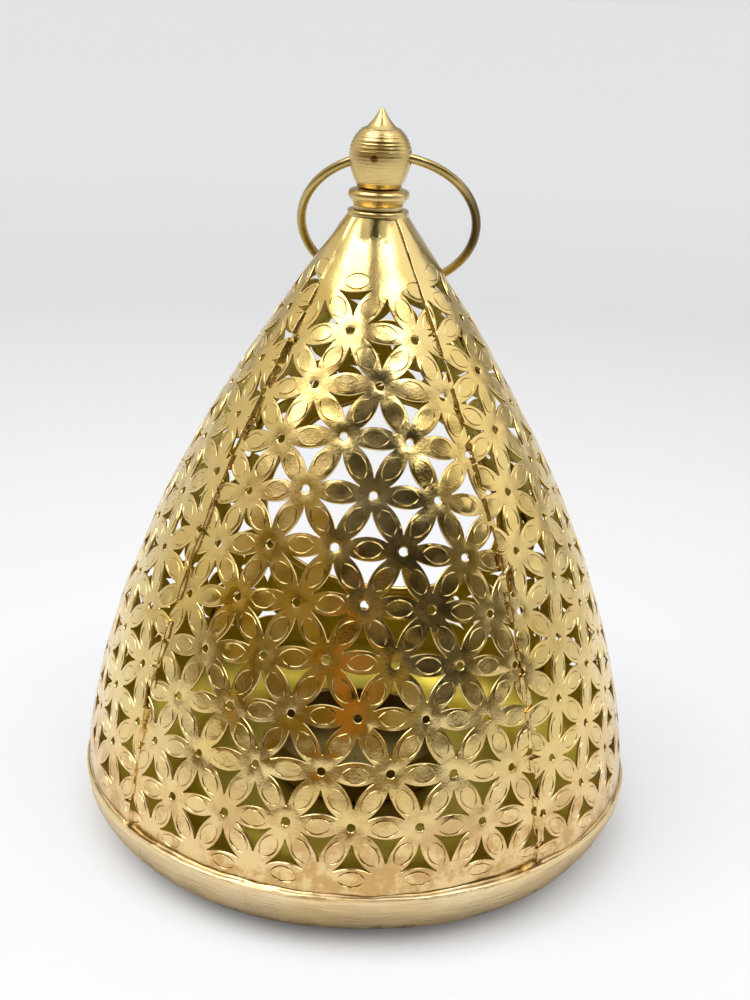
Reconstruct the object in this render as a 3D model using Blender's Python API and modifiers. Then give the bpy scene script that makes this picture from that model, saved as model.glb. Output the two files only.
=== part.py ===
# Pierced brass candle lantern: a beehive shell of four pierced gores on a spun
# base, with a turned finial and a swinging ring. Metres, +Z up, origin at the
# centre of the base's underside, front gore facing -Y.

from bisect import bisect_right
from collections import namedtuple
from math import asin, atan2, ceil, cos, hypot, inf, pi, radians, sin, sqrt

import bmesh
import bpy
from mathutils import Matrix, Vector
from mathutils.geometry import delaunay_2d_cdt

# General clearances
FIT_GAP = 0.0003
BORE_GAP = 0.0003

# Base: a spun pan with a raised floor and an upturned rim
REST_INNER_RADIUS = 0.070
REST_OUTER_RADIUS = 0.076
PAN_RIM_RADIUS = 0.101
PAN_RIM_HEIGHT = 0.0235
PAN_SHEET = 0.0009
FLOOR_HEIGHT = 0.014
FLOOR_RADIUS = 0.059
FLOOR_STEP_WIDTH = 0.006
PAN_STEPS = 40
PAN_WALL_POINTS = 4

# Candle cup, soldered to the pan's floor
CUP_RADIUS = 0.0316
CUP_HEIGHT = 0.0145
CUP_SHEET = 0.0009
CUP_CORNER = 0.002
CUP_STEPS = 28

# Shell profile: a conical crown that swells to an almost upright belly
CROWN_RADIUS = 0.0103
CROWN_HEIGHT = 0.2222
CROWN_SLOPE = radians(33.7)
CROWN_HANDLE = 0.0425
BELLY_HEIGHT = 0.0316
BELLY_SLOPE = radians(8.0)
BELLY_HANDLE = 0.0875
FOOT_ROLL_RADIUS = 0.035
FOOT_DEPTH = 0.0055
RIM_TO_SHELL_GAP = 0.0006
PROFILE_SAMPLES = 400

# Gores: four pierced sheets. The sides of the front and back ones are tucked under
# the sides of the left and right ones.
GORE_COUNT = 4
SHEET = 0.0008
LAP_GAP = 0.0004
LAP_HALF_ANGLE = radians(1.0)
TUCK_SHARE = 0.85
EDGE_BORDER = 0.0016

# Flower lattice, laid out on the flat sheet before it is bent. It was punched by
# hand, so each gore has its own first row below the crown, shift and tilt.
FLOWER_SPACING = 0.0214
ROW_PITCH = 0.0175
PLAIN_FOOT = 0.012
FRONT_FIRST_ROW = 0.0393
FRONT_SHIFT = -0.0045
FRONT_TILT = radians(-1.04)
RIGHT_FIRST_ROW = 0.0359
RIGHT_SHIFT = -0.0099
RIGHT_TILT = radians(-2.54)
LEFT_FIRST_ROW = 0.0329
LEFT_SHIFT = -0.00625
LEFT_TILT = radians(2.35)
TIP_RATIO = 0.545
WAIST_RATIO = 0.40
SMALLEST_SHARE = 0.85
RING_STEP = 0.0115
COLUMN_STEP = radians(13.5)
EDGE_STEP = 0.02
ROLL_EDGE_STEP = 0.007

# Hand opening in the back gore, edged with a soldered wire
OPENING_RADIUS = 0.054
OPENING_ABOVE_FOOT = 0.0786
OPENING_BORDER = 0.0022
OPENING_POINTS = 36
RIM_WIRE_RADIUS = 0.0015
RIM_POINTS = 32

# Crown cap, collar and finial, held by a stud, a washer and a nut
CAP_THICKNESS = 0.0015
CAP_EDGE_ROUND = 0.0007
SPIGOT_RADIUS = 0.0080
SPIGOT_LENGTH = 0.003
STUD_RADIUS = 0.0025
STUD_END_BELOW_NUT = 0.0015
STUD_DEPTH_IN_FINIAL = 0.0045
WASHER_RADIUS = 0.008
WASHER_THICKNESS = 0.0012
NUT_WIDTH = 0.008
NUT_THICKNESS = 0.004
NUT_POINTS = 12
STUD_STEPS = 12
WASHER_STEPS = 16
COLLAR_FOOT_RADIUS = 0.0083
COLLAR_FOOT_HEIGHT = 0.0012
COLLAR_FLARE_HEIGHT = 0.0016
BEAD_RADIUS = 0.0103
BEAD_HALF_HEIGHT = 0.0018
COLLAR_TOP_RADIUS = 0.0073
COLLAR_TOP_ABOVE_BEAD = 0.0003
WAIST_RADIUS = 0.0074
BALL_RADIUS = 0.01045
BALL_CENTRE_ABOVE_WAIST = 0.0105
BALL_SHOULDER_ANGLE = radians(52)
TIP_NECK_RADIUS = 0.0044
TIP_NECK_ABOVE_CENTRE = 0.0093
TIP_RADIUS = 0.0008
TIP_ABOVE_CENTRE = 0.0148
BALL_POINTS = 6
TURNED_STEPS = 20

# Ring handle, swinging in a cross hole drilled a little out of level
RING_RADIUS = 0.0302
RING_WIRE_RADIUS = 0.0016
RING_HOLE_BELOW_CENTRE = 0.0012
RING_HOLE_SLANT = radians(5.25)
RING_MAJOR_SEGMENTS = 36
RING_MINOR_SEGMENTS = 6

# Colours
BRASS = (0.78, 0.60, 0.30)
PALE_BRASS = (0.74, 0.62, 0.38)
DARK_BRASS = (0.26, 0.16, 0.08)

# Heights that follow from the sizes above
BELLY_RADIUS = (
    PAN_RIM_RADIUS
    - PAN_SHEET
    - RIM_TO_SHELL_GAP
    - FOOT_ROLL_RADIUS * (1 - cos(BELLY_SLOPE))
)
CAP_BOTTOM = CROWN_HEIGHT + FIT_GAP
CAP_TOP = CAP_BOTTOM + CAP_THICKNESS
COLLAR_BOTTOM = CAP_TOP + FIT_GAP
BEAD_HEIGHT = COLLAR_BOTTOM + COLLAR_FOOT_HEIGHT + COLLAR_FLARE_HEIGHT + BEAD_HALF_HEIGHT
COLLAR_TOP = BEAD_HEIGHT + BEAD_HALF_HEIGHT + COLLAR_TOP_ABOVE_BEAD
FINIAL_BOTTOM = COLLAR_TOP + FIT_GAP
BALL_HEIGHT = FINIAL_BOTTOM + BALL_CENTRE_ABOVE_WAIST
HINGE_HEIGHT = BALL_HEIGHT - RING_HOLE_BELOW_CENTRE
SPIGOT_BOTTOM = CAP_BOTTOM - SPIGOT_LENGTH
WASHER_TOP = SPIGOT_BOTTOM - FIT_GAP
NUT_TOP = WASHER_TOP - WASHER_THICKNESS - FIT_GAP
STUD_BOTTOM = NUT_TOP - NUT_THICKNESS - STUD_END_BELOW_NUT
BORE_RADIUS = STUD_RADIUS + BORE_GAP
LAP_OFFSET = SHEET + LAP_GAP
GORE_HALF_ANGLE = pi / GORE_COUNT + LAP_HALF_ANGLE

# The gores in order round the shell: where the lattice lies on each one's sheet, and
# whether its sides are tucked under
Gore = namedtuple("Gore", "first_row shift tilt tucked")
GORES = {
    "gore_front": Gore(FRONT_FIRST_ROW, FRONT_SHIFT, FRONT_TILT, True),
    "gore_right": Gore(RIGHT_FIRST_ROW, RIGHT_SHIFT, RIGHT_TILT, False),
    "gore_back": Gore(FRONT_FIRST_ROW, FRONT_SHIFT, FRONT_TILT, True),
    "gore_left": Gore(LEFT_FIRST_ROW, LEFT_SHIFT, LEFT_TILT, False),
}


# Scene, collections and materials


def clear_scene():
    for obj in list(bpy.data.objects):
        bpy.data.objects.remove(obj, do_unlink=True)


def new_collection(name):
    collection = bpy.data.collections.new(name)
    bpy.context.scene.collection.children.link(collection)
    return collection


def metal(name, colour, roughness):
    material = bpy.data.materials.new(name)
    material.use_nodes = True
    shader = material.node_tree.nodes["Principled BSDF"]
    shader.inputs["Base Color"].default_value = (*colour, 1)
    shader.inputs["Metallic"].default_value = 1.0
    shader.inputs["Roughness"].default_value = roughness
    return material


def add_object(name, data, collection, material):
    obj = bpy.data.objects.new(name, data)
    collection.objects.link(obj)
    if material:
        data.materials.append(material)
    return obj


def smooth(mesh, angle=35):
    mesh.shade_smooth()
    mesh.set_sharp_from_angle(angle=radians(angle))


# Turned pieces


def profile_mesh(name, points):
    mesh = bpy.data.meshes.new(name)
    edges = [(i, i + 1) for i in range(len(points) - 1)]
    mesh.from_pydata([(r, 0, z) for r, z in points], edges, [])
    return mesh


def turned(name, points, steps, collection, material):
    """A profile of (radius, height), turned about Z. It runs down its outer side."""
    obj = add_object(name, profile_mesh(name, points), collection, material)
    screw = obj.modifiers.new("Turn", "SCREW")
    screw.axis = "Z"
    screw.steps = steps
    screw.render_steps = steps
    screw.use_merge_vertices = True
    screw.merge_threshold = 0.0001
    screw.use_smooth_shade = True
    return obj


def spun_sheet(name, points, sheet, steps, collection, material):
    """A turned open profile given the sheet's thickness on its inner side."""
    obj = turned(name, points, steps, collection, material)
    solidify = obj.modifiers.new("Sheet", "SOLIDIFY")
    solidify.thickness = sheet
    solidify.offset = -1
    solidify.use_even_offset = True
    return obj


def base_pan(collection, material):
    wall_width = PAN_RIM_RADIUS - REST_OUTER_RADIUS
    points = []
    for i in range(PAN_WALL_POINTS + 1):
        turn = pi / 2 * i / PAN_WALL_POINTS
        radius = REST_OUTER_RADIUS + wall_width * cos(turn)
        points.append((radius, PAN_RIM_HEIGHT * (1 - sin(turn))))
    underside = FLOOR_HEIGHT - PAN_SHEET
    points += [
        (REST_INNER_RADIUS, 0),
        (REST_INNER_RADIUS - FLOOR_STEP_WIDTH / 3, underside * 0.15),
        (FLOOR_RADIUS + FLOOR_STEP_WIDTH / 3, underside * 0.85),
        (FLOOR_RADIUS, underside),
        (0, underside),
    ]
    return spun_sheet("base_pan", points, PAN_SHEET, PAN_STEPS, collection, material)


def candle_cup(collection, material):
    bottom = FLOOR_HEIGHT + FIT_GAP
    corner = CUP_CORNER * (1 - cos(pi / 4))
    points = [
        (CUP_RADIUS, bottom + CUP_HEIGHT),
        (CUP_RADIUS, bottom + CUP_CORNER),
        (CUP_RADIUS - corner, bottom + corner),
        (CUP_RADIUS - CUP_CORNER, bottom),
        (0, bottom),
    ]
    return spun_sheet("candle_cup", points, CUP_SHEET, CUP_STEPS, collection, material)


# Shell surface


def bezier(p0, p1, p2, p3, t):
    s = 1 - t
    weights = (s**3, 3 * t * s * s, 3 * t * t * s, t**3)
    return tuple(sum(w * p[k] for w, p in zip(weights, (p0, p1, p2, p3))) for k in (0, 1))


def shell_profile():
    """(radius, height) from the crown down to the foot, which tucks into the pan."""
    crown = (CROWN_RADIUS, CROWN_HEIGHT)
    belly = (BELLY_RADIUS, BELLY_HEIGHT)
    below_crown = (
        crown[0] + CROWN_HANDLE * sin(CROWN_SLOPE),
        crown[1] - CROWN_HANDLE * cos(CROWN_SLOPE),
    )
    above_belly = (
        belly[0] - BELLY_HANDLE * sin(BELLY_SLOPE),
        belly[1] + BELLY_HANDLE * cos(BELLY_SLOPE),
    )
    points = [
        bezier(crown, below_crown, above_belly, belly, i / PROFILE_SAMPLES)
        for i in range(PROFILE_SAMPLES)
    ]
    centre_radius = BELLY_RADIUS - FOOT_ROLL_RADIUS * cos(BELLY_SLOPE)
    centre_height = BELLY_HEIGHT - FOOT_ROLL_RADIUS * sin(BELLY_SLOPE)
    foot_angle = asin((PAN_RIM_HEIGHT - FOOT_DEPTH - centre_height) / FOOT_ROLL_RADIUS)
    for i in range(PROFILE_SAMPLES // 8 + 1):
        turn = BELLY_SLOPE + (foot_angle - BELLY_SLOPE) * i / (PROFILE_SAMPLES // 8)
        radius = centre_radius + FOOT_ROLL_RADIUS * cos(turn)
        points.append((radius, centre_height + FOOT_ROLL_RADIUS * sin(turn)))
    return points


class Shell:
    """The shell's surface: along is the distance down the profile from the crown."""

    def __init__(self):
        self.points = shell_profile()
        self.along = [0.0]
        for a, b in zip(self.points, self.points[1:]):
            self.along.append(self.along[-1] + hypot(b[0] - a[0], b[1] - a[1]))
        self.length = self.along[-1]
        self.roll_start = self.along[PROFILE_SAMPLES]

    def at(self, along):
        """(radius, height, outward widening per unit of length) at a distance along."""
        i = min(max(bisect_right(self.along, along) - 1, 0), len(self.along) - 2)
        (r0, z0), (r1, z1) = self.points[i], self.points[i + 1]
        span = self.along[i + 1] - self.along[i]
        t = (along - self.along[i]) / span
        return r0 + (r1 - r0) * t, z0 + (z1 - z0) * t, (r1 - r0) / span

    def clearance(self, point):
        """About how far a point lies outside the shell."""
        for (r0, z0), (r1, z1) in zip(self.points, self.points[1:]):
            if z1 <= point.z <= z0:
                radius = r0 + (r1 - r0) * (z0 - point.z) / (z0 - z1)
                slope = (z0 - z1) / hypot(r1 - r0, z0 - z1)
                return (hypot(point.x, point.y) - radius) * slope
        return inf

    def from_sheet(self, point):
        """(angle, along) where a point of the flat sheet lies once the sheet is bent."""
        x, y = point
        along = y
        for _ in range(40):
            radius, _, widening = self.at(along)
            widening = max(widening, 0.002)
            cone = radius / widening
            turn = asin(max(-0.99, min(0.99, x / cone)))
            along += 0.5 * (y + cone * (1 - cos(turn)) - along)
        return turn / widening, along

    def place(self, angle, along, tucked, depth=0.0):
        """A point of a gore. One that is tucked lies a lap deeper at both its sides."""
        radius, height, widening = self.at(along)
        upright = sqrt(max(0.0, 1 - widening * widening))
        share = min(1.0, (angle / (TUCK_SHARE * GORE_HALF_ANGLE)) ** 2) if tucked else 0.0
        inward = LAP_OFFSET * share + depth
        radius -= inward * upright
        height -= inward * widening
        return Vector((radius * sin(angle), -radius * cos(angle), height))


# Pierced gores


def flower_centre(gore, row, column):
    """Flat sheet place of a flower. The columns of odd rows are half numbers."""
    x = gore.shift + FLOWER_SPACING * column
    y = gore.first_row + ROW_PITCH * row
    c, s = cos(gore.tilt), sin(gore.tilt)
    return Vector((c * x - s * y, s * x + c * y))


def star(corners):
    """Outline of the opening between three flowers: tips towards them, waists between."""
    middle = sum(corners, Vector((0, 0))) / 3
    outline = []
    for a, b in zip(corners, corners[1:] + corners[:1]):
        outline.append(middle + TIP_RATIO * (a - middle))
        outline.append(middle + WAIST_RATIO * ((a + b) / 2 - middle))
    return outline


def flower_rows(shell, gore):
    """How many rows of flowers fit above the plain foot."""
    return round((shell.length - gore.first_row - PLAIN_FOOT) / ROW_PITCH)


def opening_centre(shell):
    return Vector((0, shell.length - OPENING_ABOVE_FOOT))


def lattice_stars(shell, gore):
    """Every opening of the lattice, also those that the gore's sides cut off."""
    reach = ceil(GORE_HALF_ANGLE * BELLY_RADIUS / FLOWER_SPACING) + 1
    found = []
    for row in range(-1, flower_rows(shell, gore)):
        for step in range(-reach, reach + 1):
            column = step + 0.5 * (row % 2)
            above = flower_centre(gore, row, column)
            beside = flower_centre(gore, row, column + 1)
            left = flower_centre(gore, row + 1, column - 0.5)
            right = flower_centre(gore, row + 1, column + 0.5)
            found.append(star([above, right, left]))
            found.append(star([above, beside, right]))
    return found


def polygon_area(outline):
    pairs = zip(outline, outline[1:] + outline[:1])
    return abs(sum(a.x * b.y - a.y * b.x for a, b in pairs)) / 2


def drawn_in(outline, is_free):
    """The outline with its outlying points drawn towards its middle until free."""
    middle = sum(outline, Vector((0, 0))) / len(outline)
    if not is_free(middle):
        return None
    found = []
    for point in outline:
        low, high = 0.0, 1.0
        if not is_free(point):
            for _ in range(10):
                half = (low + high) / 2
                if is_free(middle.lerp(point, half)):
                    low = half
                else:
                    high = half
            point = middle.lerp(point, low)
        found.append(point)
    if polygon_area(found) < SMALLEST_SHARE * polygon_area(outline):
        return None
    return found


def circle(centre, radius, count):
    turns = [2 * pi * i / count for i in range(count)]
    return [centre + radius * Vector((cos(t), sin(t))) for t in turns]


def spaced(low, high, step):
    count = max(1, ceil((high - low) / step))
    return [low + (high - low) * i / count for i in range(count + 1)]


def gore_outline(shell):
    """Outline of the gore as (angle, along): crown, right side, foot, left side."""
    rungs = spaced(0.0, shell.roll_start, EDGE_STEP)[:-1]
    rungs += spaced(shell.roll_start, shell.length, ROLL_EDGE_STEP)
    columns = spaced(-GORE_HALF_ANGLE, GORE_HALF_ANGLE, COLUMN_STEP)
    head = [(angle, 0.0) for angle in columns]
    right = [(GORE_HALF_ANGLE, along) for along in rungs[1:-1]]
    foot = [(angle, shell.length) for angle in reversed(columns)]
    left = [(-GORE_HALF_ANGLE, along) for along in reversed(rungs[1:-1])]
    return head + right + foot + left


def plain_points(shell, gore):
    """Points that keep the sheet round where no opening is cut."""
    first = gore.first_row - ROW_PITCH
    last = gore.first_row + ROW_PITCH * flower_rows(shell, gore)
    rungs = spaced(0.0, first, RING_STEP)[1:] + [(last + shell.length) / 2]
    columns = spaced(-GORE_HALF_ANGLE, GORE_HALF_ANGLE, COLUMN_STEP)[1:-1]
    return [(angle, along) for along in rungs for angle in columns]


def cut_outlines(shell, gore, with_opening):
    """Outlines of the gore's openings, as (angle, along)."""
    centre = opening_centre(shell)

    def is_free(point):
        angle, along = shell.from_sheet(point)
        limit = GORE_HALF_ANGLE - EDGE_BORDER / shell.at(along)[0]
        clear = (point - centre).length > OPENING_RADIUS + OPENING_BORDER
        return abs(angle) < limit and (clear or not with_opening)

    cuts = [drawn_in(outline, is_free) for outline in lattice_stars(shell, gore)]
    cuts = [outline for outline in cuts if outline]
    if with_opening:
        cuts.append(circle(centre, OPENING_RADIUS, OPENING_POINTS))
    return [[shell.from_sheet(point) for point in outline] for outline in cuts]


def gore_mesh(shell, name, gore, with_opening):
    """The gore's outer surface, triangulated between its outline and its openings."""
    points, outlines = [], []
    for outline in [gore_outline(shell)] + cut_outlines(shell, gore, with_opening):
        outlines.append(list(range(len(points), len(points) + len(outline))))
        points += outline
    points += plain_points(shell, gore)
    flat = [Vector((angle * BELLY_RADIUS / 2, along)) for angle, along in points]
    found = delaunay_2d_cdt(flat, [], outlines, 0, 1e-7, True)
    places = [shell.place(2 * p.x / BELLY_RADIUS, p.y, gore.tucked) for p in found[0]]
    faces = [face for face, inside in zip(found[2], found[5]) if inside == [0]]
    mesh = bpy.data.meshes.new(name)
    mesh.from_pydata(places, [], faces)
    work = bmesh.new()
    work.from_mesh(mesh)
    unused = [vertex for vertex in work.verts if not vertex.link_faces]
    bmesh.ops.delete(work, geom=unused, context="VERTS")
    bmesh.ops.recalc_face_normals(work, faces=work.faces)
    if sum(face.normal.y * face.calc_area() for face in work.faces) > 0:
        bmesh.ops.reverse_faces(work, faces=work.faces)
    work.to_mesh(mesh)
    work.free()
    smooth(mesh)
    return mesh


def gores(shell, collection, material):
    for i, (name, gore) in enumerate(GORES.items()):
        mesh = gore_mesh(shell, name, gore, name == "gore_back")
        obj = add_object(name, mesh, collection, material)
        obj.rotation_euler.z = 2 * pi * i / GORE_COUNT
        solidify = obj.modifiers.new("Sheet", "SOLIDIFY")
        solidify.thickness = SHEET
        solidify.offset = -1


def opening_rim(shell, collection, material):
    """Wire ring inside the back gore's cut edge, bent to the shell."""
    radius = OPENING_RADIUS - FIT_GAP - RIM_WIRE_RADIUS
    curve = bpy.data.curves.new("opening_rim", "CURVE")
    curve.dimensions = "3D"
    curve.bevel_depth = RIM_WIRE_RADIUS
    curve.bevel_resolution = 1
    spline = curve.splines.new("POLY")
    spline.points.add(RIM_POINTS - 1)
    spline.use_cyclic_u = True
    ring = circle(opening_centre(shell), radius, RIM_POINTS)
    for point, place in zip(spline.points, ring):
        angle, along = shell.from_sheet(place)
        point.co = (*shell.place(angle, along, True, SHEET / 2), 1)
    obj = add_object("opening_rim", curve, collection, material)
    obj.rotation_euler.z = pi


# Crown fittings


def crown_cap(collection, material):
    low = CAP_EDGE_ROUND * (1 - cos(pi / 4))
    points = [
        (BORE_RADIUS, CAP_TOP),
        (CROWN_RADIUS - CAP_EDGE_ROUND, CAP_TOP),
        (CROWN_RADIUS - low, CAP_TOP - low),
        (CROWN_RADIUS, CAP_TOP - CAP_EDGE_ROUND),
        (CROWN_RADIUS, CAP_BOTTOM),
        (SPIGOT_RADIUS, CAP_BOTTOM),
        (SPIGOT_RADIUS, SPIGOT_BOTTOM),
        (BORE_RADIUS, SPIGOT_BOTTOM),
        (BORE_RADIUS, CAP_TOP),
    ]
    return turned("crown_cap", points, TURNED_STEPS, collection, material)


def neck_collar(collection, material):
    bead = [
        (
            BEAD_RADIUS - BEAD_HALF_HEIGHT * (1 - cos(turn)),
            BEAD_HEIGHT + BEAD_HALF_HEIGHT * sin(turn),
        )
        for turn in (pi / 2, pi / 4, 0, -pi / 4)
    ]
    foot_top = COLLAR_BOTTOM + COLLAR_FOOT_HEIGHT
    points = [
        (BORE_RADIUS, COLLAR_TOP),
        (COLLAR_TOP_RADIUS, COLLAR_TOP),
        *bead,
        (COLLAR_FOOT_RADIUS, foot_top),
        (COLLAR_FOOT_RADIUS, COLLAR_BOTTOM),
        (BORE_RADIUS, COLLAR_BOTTOM),
        (BORE_RADIUS, COLLAR_TOP),
    ]
    return turned("neck_collar", points, TURNED_STEPS, collection, material)


def finial_profile():
    tip = BALL_HEIGHT + TIP_ABOVE_CENTRE
    points = [(0, tip), (TIP_RADIUS, tip - TIP_RADIUS / 3)]
    points.append((TIP_NECK_RADIUS, BALL_HEIGHT + TIP_NECK_ABOVE_CENTRE))
    lowest = -atan2(BALL_HEIGHT - FINIAL_BOTTOM, WAIST_RADIUS)
    for i in range(BALL_POINTS):
        turn = BALL_SHOULDER_ANGLE + (lowest - BALL_SHOULDER_ANGLE) * i / BALL_POINTS
        points.append((BALL_RADIUS * cos(turn), BALL_HEIGHT + BALL_RADIUS * sin(turn)))
    top = FINIAL_BOTTOM + STUD_DEPTH_IN_FINIAL + BORE_GAP
    points += [
        (WAIST_RADIUS, FINIAL_BOTTOM),
        (BORE_RADIUS, FINIAL_BOTTOM),
        (BORE_RADIUS, top),
        (0, top),
    ]
    return points


def ring_hole_radius():
    """Half the height that the bent wire takes in the ball, with its running gap."""
    sagitta = RING_RADIUS - sqrt(RING_RADIUS**2 - BALL_RADIUS**2)
    return RING_WIRE_RADIUS + sagitta / 2 + BORE_GAP


def hinge_frame():
    """World place of the hinge, with local X along the hole."""
    return Matrix.Translation((0, 0, HINGE_HEIGHT)) @ Matrix.Rotation(-RING_HOLE_SLANT, 4, "Y")


def finial(collection, cutters, material):
    ball = turned("finial", finial_profile(), TURNED_STEPS, collection, material)
    mesh = bpy.data.meshes.new("ring_hole")
    work = bmesh.new()
    bmesh.ops.create_cone(
        work,
        cap_ends=True,
        segments=20,
        radius1=ring_hole_radius(),
        radius2=ring_hole_radius(),
        depth=4 * BALL_RADIUS,
        matrix=Matrix.Rotation(pi / 2, 4, "Y"),
    )
    work.to_mesh(mesh)
    work.free()
    hole = add_object("ring_hole", mesh, cutters, None)
    hole.matrix_world = hinge_frame()
    hole.hide_render = True
    hole.display_type = "WIRE"
    cut = ball.modifiers.new("Ring hole", "BOOLEAN")
    cut.operation = "DIFFERENCE"
    cut.object = hole
    return ball


def finial_stud(collection, material):
    top = FINIAL_BOTTOM + STUD_DEPTH_IN_FINIAL
    points = [(0, top), (STUD_RADIUS, top), (STUD_RADIUS, STUD_BOTTOM), (0, STUD_BOTTOM)]
    return turned("finial_stud", points, STUD_STEPS, collection, material)


def crown_washer(collection, material):
    bottom = WASHER_TOP - WASHER_THICKNESS
    points = [
        (BORE_RADIUS, WASHER_TOP),
        (WASHER_RADIUS, WASHER_TOP),
        (WASHER_RADIUS, bottom),
        (BORE_RADIUS, bottom),
        (BORE_RADIUS, WASHER_TOP),
    ]
    return turned("crown_washer", points, WASHER_STEPS, collection, material)


def crown_nut(collection, material):
    """A hexagon with a round bore, lofted from one six-sided and one round outline."""
    corner = NUT_WIDTH / sqrt(3)
    rings = []
    work = bmesh.new()
    for height in (NUT_TOP, NUT_TOP - NUT_THICKNESS):
        outer, inner = [], []
        for i in range(NUT_POINTS):
            turn = 2 * pi * i / NUT_POINTS
            off = (turn + pi / 6) % (pi / 3) - pi / 6
            reach = corner * cos(pi / 6) / cos(pi / 6 - abs(off))
            outer.append(work.verts.new((reach * cos(turn), reach * sin(turn), height)))
            inner.append(
                work.verts.new((BORE_RADIUS * cos(turn), BORE_RADIUS * sin(turn), height))
            )
        rings.append((outer, inner))
    (top_out, top_in), (low_out, low_in) = rings
    for i in range(NUT_POINTS):
        j = (i + 1) % NUT_POINTS
        work.faces.new((top_in[i], top_out[i], top_out[j], top_in[j]))
        work.faces.new((low_in[j], low_out[j], low_out[i], low_in[i]))
        work.faces.new((top_out[i], low_out[i], low_out[j], top_out[j]))
        work.faces.new((top_in[j], low_in[j], low_in[i], top_in[i]))
    bmesh.ops.recalc_face_normals(work, faces=work.faces)
    mesh = bpy.data.meshes.new("crown_nut")
    work.to_mesh(mesh)
    work.free()
    return add_object("crown_nut", mesh, collection, material)


def ring_drop():
    """How far the ring's centre hangs below the middle of the cross hole."""
    sagitta = RING_RADIUS - sqrt(RING_RADIUS**2 - BALL_RADIUS**2)
    return RING_RADIUS - sagitta / 2


def ring_pose(angle):
    return hinge_frame() @ Matrix.Rotation(angle, 4, "X")


def ring_rest_angle(shell):
    """The angle at which the ring leans on the back of the shell."""
    turns = [2 * pi * i / 180 for i in range(180)]
    wire = [Vector((RING_RADIUS * sin(t), 0, -ring_drop() - RING_RADIUS * cos(t))) for t in turns]
    low, high = 0.0, pi / 2
    while high - low > 1e-5:
        angle = (low + high) / 2
        pose = ring_pose(angle)
        gap = min(shell.clearance(pose @ point) for point in wire)
        if gap < RING_WIRE_RADIUS + FIT_GAP:
            low = angle
        else:
            high = angle
    return high


def ring_handle(shell, collection, material):
    """Closed wire ring. Its origin is on the hinge, in the middle of the cross hole."""
    bpy.ops.mesh.primitive_torus_add(
        major_radius=RING_RADIUS,
        minor_radius=RING_WIRE_RADIUS,
        major_segments=RING_MAJOR_SEGMENTS,
        minor_segments=RING_MINOR_SEGMENTS,
    )
    obj = bpy.context.object
    obj.name = "ring_handle"
    down = Matrix.Translation((0, 0, -ring_drop()))
    obj.data.transform(down @ Matrix.Rotation(pi / 2, 4, "X"))
    obj.matrix_world = ring_pose(ring_rest_angle(shell))
    for owner in list(obj.users_collection):
        owner.objects.unlink(obj)
    collection.objects.link(obj)
    obj.data.materials.append(material)
    smooth(obj.data, 60)
    return obj


def main():
    clear_scene()
    lantern = new_collection("candle_lantern")
    cutters = new_collection("cutters")
    shell = Shell()
    brass = metal("polished_brass", BRASS, 0.28)
    pale = metal("brushed_brass", PALE_BRASS, 0.38)
    dark = metal("browned_brass", DARK_BRASS, 0.45)
    base_pan(lantern, pale)
    candle_cup(lantern, dark)
    gores(shell, lantern, brass)
    opening_rim(shell, lantern, brass)
    crown_cap(lantern, brass)
    neck_collar(lantern, brass)
    finial(lantern, cutters, brass)
    finial_stud(lantern, pale)
    crown_washer(lantern, pale)
    crown_nut(lantern, pale)
    ring_handle(shell, lantern, pale)


main()
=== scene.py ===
# Pierced brass candle lantern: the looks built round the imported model. Metres, +Z up,
# front gore facing -Y, in the same frame as the solids.

from math import atan2, ceil, cos, pi, radians, sin, sqrt

import bmesh
import bpy
import numpy as np
from mathutils import Matrix, Vector
from mathutils.geometry import delaunay_2d_cdt

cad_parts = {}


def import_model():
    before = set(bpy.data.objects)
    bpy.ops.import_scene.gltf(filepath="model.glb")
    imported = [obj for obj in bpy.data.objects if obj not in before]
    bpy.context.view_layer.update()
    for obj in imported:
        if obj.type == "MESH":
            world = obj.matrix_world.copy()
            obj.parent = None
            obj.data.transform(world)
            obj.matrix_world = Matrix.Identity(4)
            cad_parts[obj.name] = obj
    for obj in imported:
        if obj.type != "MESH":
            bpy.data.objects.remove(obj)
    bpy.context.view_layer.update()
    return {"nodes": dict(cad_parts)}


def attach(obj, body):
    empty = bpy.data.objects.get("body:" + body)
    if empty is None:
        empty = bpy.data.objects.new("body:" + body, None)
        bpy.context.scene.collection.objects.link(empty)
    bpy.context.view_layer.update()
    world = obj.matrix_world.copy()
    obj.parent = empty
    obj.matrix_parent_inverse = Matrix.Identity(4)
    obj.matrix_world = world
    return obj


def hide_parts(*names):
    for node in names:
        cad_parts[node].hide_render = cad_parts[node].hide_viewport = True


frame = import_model()

# Sizes of the solids that the detailed pieces follow
PAN_RIM_RADIUS = 0.101
PAN_RIM_HEIGHT = 0.0235
PAN_SHEET = 0.0009
REST_OUTER_RADIUS = 0.076
REST_INNER_RADIUS = 0.070
FLOOR_HEIGHT = 0.014
FLOOR_RADIUS = 0.059
CUP_RADIUS = 0.0316
CUP_HEIGHT = 0.0145
CUP_BOTTOM = 0.0143
CUP_CORNER = 0.002
CROWN_RADIUS = 0.0103
CROWN_HEIGHT = 0.2222
CROWN_SLOPE = radians(33.7)
CROWN_HANDLE = 0.0425
BELLY_HEIGHT = 0.0316
BELLY_SLOPE = radians(8.0)
BELLY_HANDLE = 0.0875
FOOT_ROLL_RADIUS = 0.035
FOOT_DEPTH = 0.0055
RIM_TO_SHELL_GAP = 0.0006
FOOT_RADIUS = PAN_RIM_RADIUS - PAN_SHEET - RIM_TO_SHELL_GAP
BELLY_RADIUS = FOOT_RADIUS - FOOT_ROLL_RADIUS * (1 - cos(BELLY_SLOPE))
SHEET = 0.0008
LAP_OFFSET = 0.0012
TUCK_SHARE = 0.85
HALF_ANGLE = radians(46)
SPACING = 0.0214
PITCH = 0.0175
FLOWER_ROWS = 10
OPENING_RADIUS = 0.054
OPENING_ABOVE_FOOT = 0.0786
RIM_WIRE_RADIUS = 0.0015
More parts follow.
